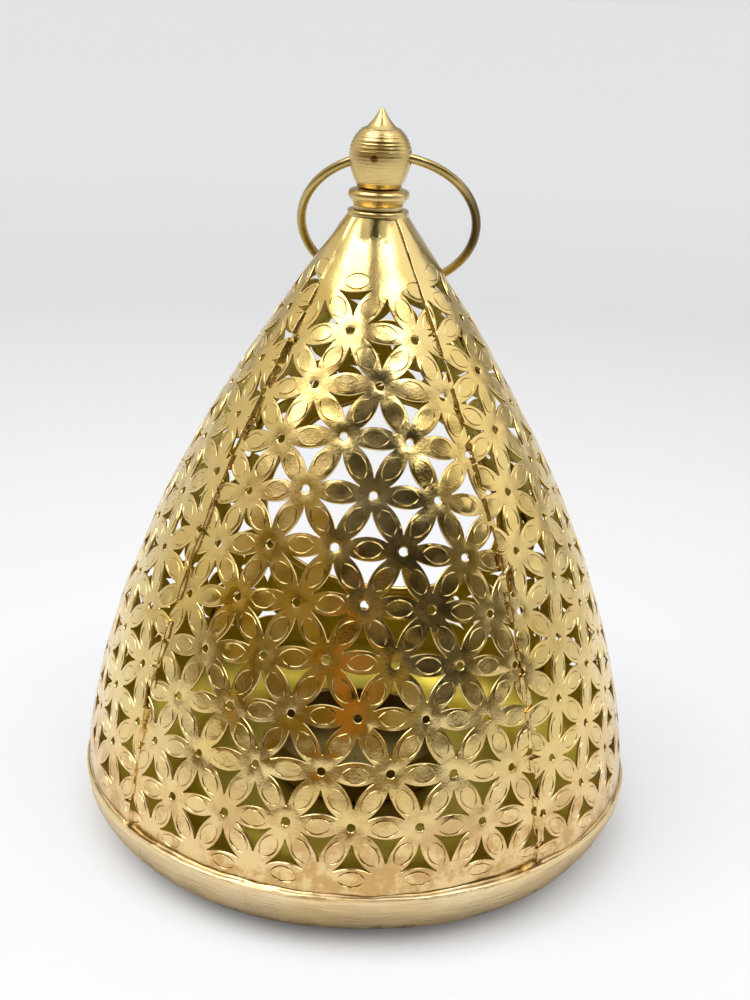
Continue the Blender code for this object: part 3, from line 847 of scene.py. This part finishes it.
def seam(over, side, over_turn, under, under_side, seed, crown_width, crown_line, broken=False):
    """Solder run along the edge of a side gore, where it lies on its neighbour's metal."""
    rng = np.random.default_rng(seed)
    along = np.linspace(0.0004, LENGTH - SEAM_END, 420)
    radius = shell_at(along)[0]
    wander = waves(rng, 20, 0.002, 0.02, 0.00022)
    specks = waves(rng, 20, 0.0015, 0.012, 0.5)
    line = np.column_stack([0 * along, along])
    in_crown = near_crown(along)
    width = np.clip(SOLDER_WIDTH + wander(line), *SOLDER_LIMITS)
    width = width + in_crown * (crown_width - width)
    edge = side * HALF_ANGLE
    under_edge = under_side * (HALF_ANGLE - OVERLAP)
    over_flat = to_sheet(edge - side * 0.0003 / radius, along)
    under_angle = under_edge - under_side * width / radius
    under_flat = to_sheet(under_angle, along)
    metal = is_metal(over, over_flat) & is_metal(under, under_flat)
    top = np.maximum(sheets[over][1](over_flat), OUTWARD_LIMIT)
    low = lap_step(along) + np.maximum(sheets[under][1](under_flat), OUTWARD_LIMIT)
    # Painted shade in the crack along the lap's edge, in spots; near the crown crown_line sets it,
    # and broken leaves only marks
    dark = np.clip(0.30 + 0.8 * specks(line), 0.0, 0.85)
    crown_dark = crown_line * np.clip((along - 0.010) / 0.003, 0, 1)
    if broken:
        crown_dark = crown_dark * np.clip(4 * specks(line), 0, 1)
    dark = dark + in_crown * (crown_dark - dark)
    sections = []
    # From the side gore's outer face down to its neighbour's and back under it
    for offset, depth in (
        (-0.00014 + 0 * width, top - 0.00003),
        (0.00003 + 0 * width, top + 0.00002),
        (0.00019 + 0 * width, top + 0.20 * (low - top)),
        (0.62 * width, top + 0.76 * (low - top)),
        (width, low + 0.00002),
        (0.3 * width, low + 0.0003),
        (-0.00030 + 0 * width, top + 0.0006),
    ):
        angle = edge + side * offset / radius
        sections.append(place(angle, along, depth, False, over_turn))
    ring_size = len(sections)
    solid = np.stack(sections, 1)
    points = []
    faces = []
    shades = []
    shade = np.array([0.0, 1.0, 0.15, 0.0, 0.15, 0.0, 0.0])
    runs = np.flatnonzero(np.diff(np.concatenate([[0], metal.astype(int), [0]])))
    for first, last in zip(runs[::2], runs[1::2]):
        if last - first < 2:
            continue
        start = len(points)
        count = last - first
        points.extend(solid[first:last].reshape(-1, 3))
        shades.extend(np.outer(dark[first:last], shade).ravel())
        for i in range(count - 1):
            a = start + i * ring_size
            for j in range(ring_size):
                k = (j + 1) % ring_size
                face = (a + j, a + k, a + ring_size + k, a + ring_size + j)
                faces.append(face if side > 0 else face[::-1])
        cap = tuple(range(start, start + ring_size))
        end = tuple(c + (count - 1) * ring_size for c in cap)
        faces.append(cap[::-1] if side > 0 else cap)
        faces.append(end if side > 0 else end[::-1])
    obj = mesh_piece(
        f"seam_{over}_{under}", points, faces, sheet_brass, "lantern", sharp=60
    )
    set_painted_shade(obj, shades)


seam("gore_right", -1, pi / 2, "gore_front", 1, 31, 0.0006, 1.0)
seam("gore_right", 1, pi / 2, "gore_back", -1, 32, 0.0010, 0.8)
seam("gore_left", -1, 3 * pi / 2, "gore_back", 1, 33, 0.0010, 0.8)
seam("gore_left", 1, 3 * pi / 2, "gore_front", -1, 34, 0.0009, 0.9, True)


def opening_wire():
    radius = OPENING_RADIUS - GAP - RIM_WIRE_RADIUS
    turn = 2 * pi * np.arange(120) / 120
    ring = np.array([0, LENGTH - OPENING_ABOVE_FOOT])
    ring = ring + radius * np.column_stack([np.cos(turn), np.sin(turn)])
    angle, along = from_sheet(ring)
    path = place(angle, along, SHEET / 2, True, pi)
    points, faces = tube(path, RIM_WIRE_RADIUS, 12)
    mesh_piece(
        "opening_wire",
        points,
        faces,
        sheet_brass,
        "lantern",
        replaces="opening_rim",
    )


opening_wire()


# Base


def pan_profile():
    """The pan's section, from its rim to the middle underneath and back on top."""
    outer = []
    wall = PAN_RIM_RADIUS - REST_OUTER_RADIUS
    for i in range(15):
        turn = pi / 2 * i / 14
        outer.append((REST_OUTER_RADIUS + wall * cos(turn), PAN_RIM_HEIGHT * (1 - sin(turn))))
    under = FLOOR_HEIGHT - PAN_SHEET
    outer += [(0.0725, 0.0), (REST_INNER_RADIUS, 0.0)]
    for share in (0.2, 0.4, 0.6, 0.8, 1.0):
        blend = share * share * (3 - 2 * share)
        radius = REST_INNER_RADIUS + (FLOOR_RADIUS - REST_INNER_RADIUS) * share
        outer.append((radius, under * blend))
    for radius in (0.050, 0.040, 0.030, 0.020, 0.010, 0.0005):
        outer.append((radius, under))
    outer = np.array(outer)
    inner = thickened(outer, PAN_SHEET)
    inner[0] = (PAN_RIM_RADIUS - PAN_SHEET, PAN_RIM_HEIGHT)
    lip = [(PAN_RIM_RADIUS - 0.0002, PAN_RIM_HEIGHT - 0.0002)]
    return np.vstack([outer[:1] - [0, 0.0006], outer[1:], inner[::-1], lip])


def base():
    rng = np.random.default_rng(5)
    dents = waves(rng, 24, 0.010, 0.09, 0.0006)
    hammering = waves(rng, 40, 0.0045, 0.012, 0.00014)
    rim_dents = waves(rng, 16, 0.006, 0.05, 0.0004)

    def shift(around, radius, height):
        where = np.stack([around * PATTERN_RADIUS, height * 1.6], -1)
        amount = dents(where.reshape(-1, 2)) + hammering(where.reshape(-1, 2))
        amount = amount.reshape(around.shape)
        on_wall = np.clip((radius - 0.079) / 0.01, 0, 1)
        lip = np.clip((height - 0.019) / 0.004, 0, 1) * on_wall
        rim = rim_dents(np.stack([around.ravel() * PATTERN_RADIUS, 0 * around.ravel()], -1))
        drop = np.clip(rim.reshape(around.shape) - 0.0001, -0.0001, 0.0006)
        return -on_wall * np.clip(amount + 0.00025, 0, 0.0009), -lip * (drop + 0.0001)

    profile = pan_profile()
    points, faces = revolved(profile, 240, True, shift)
    obj = mesh_piece(
        "base_pan_spun", points, faces, band_brass, "lantern", replaces="base_pan"
    )
    obj.data.materials.append(shaded_inner_brass)
    half = len(profile) // 2
    slots = [1 if half <= i % len(profile) < len(profile) - 3 else 0 for i in range(len(faces))]
    obj.data.polygons.foreach_set("material_index", slots)


base()


def cup():
    outer = [(CUP_RADIUS, CUP_BOTTOM + CUP_HEIGHT - 0.0003)]
    for share in np.linspace(0.25, 0.95, 4):
        outer.append((CUP_RADIUS, CUP_BOTTOM + CUP_HEIGHT + (CUP_CORNER - CUP_HEIGHT) * share))
    for i in range(5):
        turn = pi / 2 * i / 4
        radius = CUP_RADIUS - CUP_CORNER + CUP_CORNER * cos(turn)
        outer.append((radius, CUP_BOTTOM + CUP_CORNER * (1 - sin(turn))))
    outer += [(0.020, CUP_BOTTOM), (0.010, CUP_BOTTOM), (0.0004, CUP_BOTTOM)]
    inner = thickened(np.array(outer), PAN_SHEET)
    lip = [(CUP_RADIUS - PAN_SHEET / 2, CUP_BOTTOM + CUP_HEIGHT)]
    profile = np.vstack([outer, inner[::-1], lip])
    turned_piece("candle_cup_spun", profile, shaded_cup_brass, "candle_cup", sharp=40)


cup()


def foot_solder():
    """Ragged run of solder between the pan's lip and the foot of the gores."""
    rng = np.random.default_rng(8)
    count = 720
    around = 2 * pi * np.arange(count) / count
    rough = waves(rng, 30, 0.003, 0.05, 0.00035)
    high = waves(rng, 30, 0.002, 0.03, 0.00045)
    specks = waves(rng, 30, 0.0015, 0.03, 0.6)
    where = np.column_stack([around * PATTERN_RADIUS, 0 * around])
    quarter = np.round(around / (pi / 2)).astype(int)
    local = around - quarter * pi / 2
    tucked = quarter % 2 == 0
    lap = np.where(tucked, LAP_OFFSET * tuck(local), 0)
    foot = np.interp(0.0242, PROFILE[::-1, 1], PROFILE[::-1, 0]) - lap
    # Two places, left and right of the front, where the solder has broken away
    missing = np.clip(1 - np.abs(around - radians(320)) / radians(5), 0, 1) ** 0.5
    missing = np.maximum(missing, np.clip(1 - np.abs(around - radians(41)) / radians(2), 0, 1))
    lift = 0.00015 + 0.7 * high(where) - 0.0014 * missing
    lip = PAN_RIM_RADIUS - PAN_SHEET
    sections = (
        (lip + 0.0006 + rough(where), PAN_RIM_HEIGHT - 0.0005 + 0 * around),
        (lip + 0.0001 + 0.6 * rough(where), PAN_RIM_HEIGHT + 0.0001 + 0.4 * high(where)),
        ((lip + foot) / 2 + rough(where), PAN_RIM_HEIGHT + 0.6 * lift),
        (foot + 0.0001, PAN_RIM_HEIGHT + 0.0004 + lift),
        (foot - 0.0003, PAN_RIM_HEIGHT + 0.0005 + lift),
        (foot - 0.0003, PAN_RIM_HEIGHT - 0.0025 + 0 * around),
        (lip + 0.0002 + 0 * around, PAN_RIM_HEIGHT - 0.0025 + 0 * around),
    )
    solid = np.stack(
        [np.column_stack([r * np.sin(around), -r * np.cos(around), z]) for r, z in sections], 1
    )
    faces = loop_faces(count, len(sections))
    obj = mesh_piece(
        "foot_solder", solid.reshape(-1, 3), faces, band_brass, "lantern", sharp=70
    )
    # Painted shade in the gap between the pan's lip and the foot of the gores, darkest where the
    # solder has broken away
    dark = np.clip(0.75 + specks(where) + missing, 0, 1)
    set_painted_shade(obj, np.outer(dark, [0.0, 0.10, 0.95, 0.10, 0.0, 0.0, 0.0]).ravel())


foot_solder()


# Crown fittings


def crown_cap():
    edge = 0.0007
    profile = [(BORE_RADIUS, CAP_TOP)]
    for i in range(6):
        turn = pi / 2 * (1 - i / 5)
        profile.append((CROWN_RADIUS - edge + edge * cos(turn), CAP_TOP - edge + edge * sin(turn)))
    profile += [
        (CROWN_RADIUS, CAP_BOTTOM),
        (SPIGOT_RADIUS, CAP_BOTTOM),
        (SPIGOT_RADIUS, CAP_BOTTOM - SPIGOT_DEPTH),
        (BORE_RADIUS, CAP_BOTTOM - SPIGOT_DEPTH),
    ]
    turned_piece("crown_cap_turned", profile, turned_brass, "crown_cap")


def neck_collar():
    profile = [(BORE_RADIUS, COLLAR_TOP), (0.0073, COLLAR_TOP)]
    for i in range(13):
        turn = pi / 2 - (pi * 0.80) * i / 12
        radius = BEAD_RADIUS - BEAD_HALF * (1 - cos(turn))
        profile.append((radius, BEAD_HEIGHT + BEAD_HALF * sin(turn)))
    foot = 0.0083
    profile += [(foot, COLLAR_BOTTOM + 0.0012), (foot, COLLAR_BOTTOM), (BORE_RADIUS, COLLAR_BOTTOM)]
    turned_piece("neck_collar_turned", profile, turned_brass, "neck_collar")


def finial_profile():
    """Ball with a pointed tip and fine lathe lines on its upper part."""
    tip = BALL_HEIGHT + 0.0148
    profile = [
        (0.0, tip),
        (0.0005, tip - 0.0001),
        (0.0009, tip - 0.0006),
        (0.0016, tip - 0.0020),
        (0.0027, tip - 0.0036),
        (0.0039, tip - 0.0050),
        (0.0049, tip - 0.0060),
        (0.0064, BALL_HEIGHT + BALL_RADIUS * 0.79),
    ]
    start = atan2(0.79, 0.6124)
    lowest = -atan2(BALL_HEIGHT - FINIAL_BOTTOM, WAIST_RADIUS)
    count = 92
    cuts = np.random.default_rng(21).uniform(0, 1, count // 2 + 1) ** 1.5
    for i in range(1, count + 1):
        turn = start + (lowest - start) * i / count
        share = min(max((turn - radians(-24)) / radians(14), 0.12), 1)
        radius = BALL_RADIUS - 0.00004 - 0.00016 * share * cuts[i // 2]
        height = BALL_HEIGHT + radius * sin(turn)
        rise = np.clip((height - FINIAL_BOTTOM) / 0.0100, 0, 1)
        full = WAIST_RADIUS + (BALL_RADIUS - 0.00008 - WAIST_RADIUS) * sin(rise * pi / 2)
        profile.append((max(radius * cos(turn), full if turn < 0 else 0), height))
    top = FINIAL_BOTTOM + 0.0048
    profile += [
        (WAIST_RADIUS, FINIAL_BOTTOM + 0.0002),
        (WAIST_RADIUS - 0.0002, FINIAL_BOTTOM),
        (BORE_RADIUS, FINIAL_BOTTOM),
        (BORE_RADIUS, top),
        (0.0, top),
    ]
    return profile


def finial():
    mesh = bpy.data.meshes.new("finial_turned")
    points, faces = revolved(finial_profile(), ROUND_STEPS, False)
    mesh.from_pydata([tuple(p) for p in points], [], faces)
    work = bmesh.new()
    work.from_mesh(mesh)
    bmesh.ops.remove_doubles(work, verts=work.verts, dist=1e-6)
    bmesh.ops.recalc_face_normals(work, faces=work.faces)
    work.to_mesh(mesh)
    work.free()
    ball = new_object("finial_turned", mesh)
    sagitta = RING_RADIUS - sqrt(RING_RADIUS**2 - BALL_RADIUS**2)
    hole_radius = RING_WIRE_RADIUS + sagitta / 2 + GAP
    hole_mesh = bpy.data.meshes.new("cross_hole")
    work = bmesh.new()
    bmesh.ops.create_cone(
        work,
        cap_ends=True,
        segments=32,
        radius1=hole_radius,
        radius2=hole_radius,
        depth=4 * BALL_RADIUS,
        matrix=Matrix.Rotation(pi / 2, 4, "Y"),
    )
    work.to_mesh(hole_mesh)
    work.free()
    hole = new_object("cross_hole", hole_mesh)
    slant = Matrix.Rotation(-RING_HOLE_SLANT, 4, "Y")
    hole.matrix_world = Matrix.Translation((0, 0, HINGE_HEIGHT)) @ slant
    cut = ball.modifiers.new("Cross hole", "BOOLEAN")
    cut.operation = "DIFFERENCE"
    cut.object = hole
    bpy.context.view_layer.update()
    graph = bpy.context.evaluated_depsgraph_get()
    done = bpy.data.meshes.new_from_object(ball.evaluated_get(graph))
    ball.modifiers.clear()
    ball.data = done
    bpy.data.objects.remove(hole)
    done.shade_smooth()
    done.set_sharp_from_angle(angle=radians(40))
    done.materials.clear()
    done.materials.append(turned_brass)
    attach(ball, "lantern")
    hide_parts("finial")


def crown_solder():
    turn = 2 * pi * np.arange(96) / 96
    radius = CROWN_RADIUS - 0.0004
    height = CROWN_HEIGHT + 0.0001 + 0 * turn
    path = np.column_stack([radius * np.cos(turn), radius * np.sin(turn), height])
    points, faces = tube(path, 0.00048, 8)
    mesh_piece("crown_solder", points, faces, sheet_brass, "lantern", sharp=60)


crown_cap()
crown_solder()
neck_collar()
finial()


def ring():
    """The wire ring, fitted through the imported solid's points."""
    co = np.array([v.co for v in frame["nodes"]["ring_handle"].data.vertices], float)
    centre = co.mean(0)
    _, _, axes = np.linalg.svd(co - centre, full_matrices=False)
    turn = 2 * pi * np.arange(144) / 144
    circle = np.outer(np.cos(turn), axes[0]) + np.outer(np.sin(turn), axes[1])
    path = centre + RING_RADIUS * circle
    points, faces = tube(path, RING_WIRE_RADIUS - 0.00002, 16)
    mesh_piece("ring_wire", points, faces, wire_brass, "ring", replaces="ring_handle")


ring()

for node_name in ("finial_stud", "crown_washer", "crown_nut"):
    node = frame["nodes"][node_name]
    node.data.materials.clear()
    node.data.materials.append(fastener_brass)


# Studio


def direction(azimuth, elevation):
    """A direction as seen from the lantern. Azimuth 0 is -Y, 90 is +X."""
    a, e = radians(azimuth), radians(elevation)
    return sin(a) * cos(e), -cos(a) * cos(e), sin(e)


# World colours by height, from straight down to straight up
SKY = [
    (0.0, (0.90, 0.90, 0.90)),
    (0.50, (0.54, 0.54, 0.53)),
    (0.60, (0.38, 0.38, 0.37)),
    (0.75, (0.44, 0.44, 0.43)),
    (0.88, (1.00, 1.00, 1.00)),
    (1.0, (1.50, 1.50, 1.50)),
]
BROWNS = [(0.38, (0.05, 0.036, 0.010)), (0.50, (0.15, 0.095, 0.012)), (0.60, (0.36, 0.26, 0.05))]
OLIVES = [(0.38, (0.06, 0.042, 0.005)), (0.50, (0.20, 0.130, 0.010)), (0.62, (0.52, 0.37, 0.09))]

# Cards: azimuth, elevation, inner and outer angle, colour and strength
PALE_CARDS = (
    (-105, 32, 18, 44, (1.42, 1.31, 0.98), 0.38),
    (100, 34, 14, 38, (1.42, 1.40, 1.30), 0.72),
    (-48, 54, 17, 31, (5.80, 5.80, 5.80), 0.95),
    (38, 56, 13, 25, (5.20, 5.20, 5.20), 0.95),
)
DARK_CARDS = (
    (-5, 14, 24, 52, "browns", 0.94),
    (-56, 6, 12, 27, "olives", 0.88),
    (-40, 19, 15, 40, "olives", 0.91),
    (61, 10, 19, 33, (0.110, 0.086, 0.036), 0.93),
    (28, 37, 14, 21, (0.014, 0.012, 0.006), 0.985),
    (45, 24, 11, 19, (0.018, 0.015, 0.008), 0.97),
    (6, 74, 8, 18, (0.05, 0.04, 0.02), 0.96),
    (5, 58, 6, 14, (0.07, 0.055, 0.025), 0.84),
    (1, 35, 11, 20, (0.022, 0.017, 0.008), 0.97),
    (-22, 3, 5, 20, (0.17, 0.100, 0.004), 0.85),
    (1, 11, 3, 13, (0.42, 0.175, 0.006), 0.92),
)
PLAIN_LEVEL = 0.685
BACKDROP = (0.745, 0.752, 0.752)


def world():
    """Pale cards that light the lantern, and dark ones that only its reflections show."""
    made = bpy.data.worlds.new("studio")
    bpy.context.scene.world = made
    tree = Graph(made)
    tree.nodes.clear()
    where = tree.node("TexCoord").outputs["Generated"]
    up = tree.axes(where)[2]
    colour = tree.ramp(tree.math("MULTIPLY", tree.math("ADD", up, 1.0), 0.5), SKY)

    def with_card(colour, azimuth, elevation, inner, outer, tint, strength):
        near = tree.measure("DOT_PRODUCT", where, direction(azimuth, elevation))
        edge, full = cos(radians(outer)), cos(radians(inner))
        return tree.mixed(tree.spread(near, edge, full, 0.0, strength), colour, tint)

    for card in PALE_CARDS:
        colour = with_card(colour, *card)
    plain = tree.mixed(1.0, colour, (PLAIN_LEVEL, PLAIN_LEVEL, PLAIN_LEVEL), "MULTIPLY")
    bands = tree.noise(tree.scaled(where, (7.0, 7.0, 1.0)), 1.0, 3, 0.6)
    banded = {"browns": tree.ramp(bands, BROWNS), "olives": tree.ramp(bands, OLIVES)}
    for *spot, tint, strength in DARK_CARDS:
        colour = with_card(colour, *spot, banded.get(tint, tint), strength)
    rays = tree.node("LightPath").outputs
    colour = tree.mixed(rays["Is Glossy Ray"], plain, colour)
    lit = tree.node("Background", {"Color": colour})
    seen = tree.node("Background", {"Color": BACKDROP})
    output = tree.node("OutputWorld")
    tree.put(output.inputs["Surface"], tree.mixed_shaders(rays["Is Camera Ray"], lit, seen))


# Floor colours by half the distance from the lantern's axis, which paint the fall of the light:
# paler near the lantern, darker further out
PAPER = [
    (0.10, (0.738, 0.748, 0.772)),
    (0.15, (0.704, 0.709, 0.722)),
    (0.225, (0.675, 0.677, 0.688)),
    (0.28, (0.647, 0.647, 0.656)),
    (0.36, (0.612, 0.614, 0.624)),
    (0.465, (0.573, 0.576, 0.585)),
    (0.95, (0.612, 0.616, 0.629)),
]
MIRRORED_SHADE = (0.09, 0.065, 0.03)


def floor():
    """Pale paper that keeps the lantern's shadow, lightened by a painted glow, and darker in its
    reflections far out and near.
    """
    mesh = bpy.data.meshes.new("floor")
    work = bmesh.new()
    bmesh.ops.create_circle(work, cap_ends=True, segments=96, radius=70.0)
    work.to_mesh(mesh)
    work.free()
    obj = new_object("floor", mesh)
    obj.location.z = -0.00005
    material = bpy.data.materials.new("paper_floor")
    tree = Graph(material)
    shader = tree.nodes["Principled BSDF"]
    tree.put(shader.inputs["Roughness"], 0.9)
    tree.put(shader.inputs["Specular IOR Level"], 0.1)
    where = tree.node("TexCoord").outputs["Object"]
    x, y, _ = tree.axes(where)
    length = tree.measure("LENGTH", where)
    colour = tree.ramp(tree.math("MULTIPLY", length, 0.5), PAPER)
    lean = tree.math("ADD", y, tree.math("MULTIPLY", x, 0.45))
    far_out = tree.spread(lean, -1.15, -0.62, 0.92, 0.0)
    near = tree.spread(length, 0.085, 0.135, 0.75, 0.0)
    rays = tree.node("LightPath").outputs
    dark = tree.math("MULTIPLY", tree.math("MAXIMUM", far_out, near), rays["Is Glossy Ray"])
    tree.put(shader.inputs["Base Color"], tree.mixed(dark, colour, MIRRORED_SHADE))
    # For camera rays part of the paper glows: painted light that lifts the lantern's shadow, less
    # of it right at the base so the contact shadow stays
    glow = tree.node("Emission", {"Strength": 1.15, "Color": colour})
    pale = tree.spread(length, 0.096, 0.116, 0.10, 0.44)
    share = tree.math("MULTIPLY", rays["Is Camera Ray"], pale)
    surface = tree.nodes["Material Output"].inputs["Surface"]
    tree.put(surface, tree.mixed_shaders(share, shader, glow))
    mesh.materials.append(material)


LAMP_AIM = Vector((0, 0, 0.12))


def lamp(name, place_at, size, power):
    data = bpy.data.lights.new(name, "AREA")
    data.shape = "RECTANGLE"
    data.size = data.size_y = size
    data.energy = power
    obj = new_object(name, data)
    obj.location = place_at
    obj.visible_glossy = False
    obj.rotation_mode = "QUATERNION"
    obj.rotation_quaternion = (LAMP_AIM - Vector(place_at)).to_track_quat("-Z", "Y")


CAMERA_PLACE = (0.0460, -0.4685, 0.2935)
CAMERA_TURN = (-5.21, 20.14, 2.56)


def camera():
    """The photograph's camera, from its yaw, pitch and roll."""
    yaw, pitch, roll = map(radians, CAMERA_TURN)
    forward = Vector((sin(yaw) * cos(pitch), cos(yaw) * cos(pitch), -sin(pitch)))
    right = Vector((cos(yaw), -sin(yaw), 0))
    upward = right.cross(forward)
    x = cos(roll) * right + sin(roll) * upward
    y = -sin(roll) * right + cos(roll) * upward
    data = bpy.data.cameras.new("camera")
    data.sensor_width = 36
    data.lens = 50.4
    data.clip_start = 0.02
    data.clip_end = 150
    obj = new_object("camera", data)
    turn = Matrix((x, y, -forward)).transposed().to_4x4()
    obj.matrix_world = Matrix.Translation(CAMERA_PLACE) @ turn
    bpy.context.scene.camera = obj


world()
floor()
lamp("left_softbox", (-0.9, -0.5, 1.1), 0.7, 1.8)
lamp("right_softbox", (1.0, -0.3, 1.0), 0.6, 1.2)
camera()
bpy.context.scene.view_settings.view_transform = "Standard"
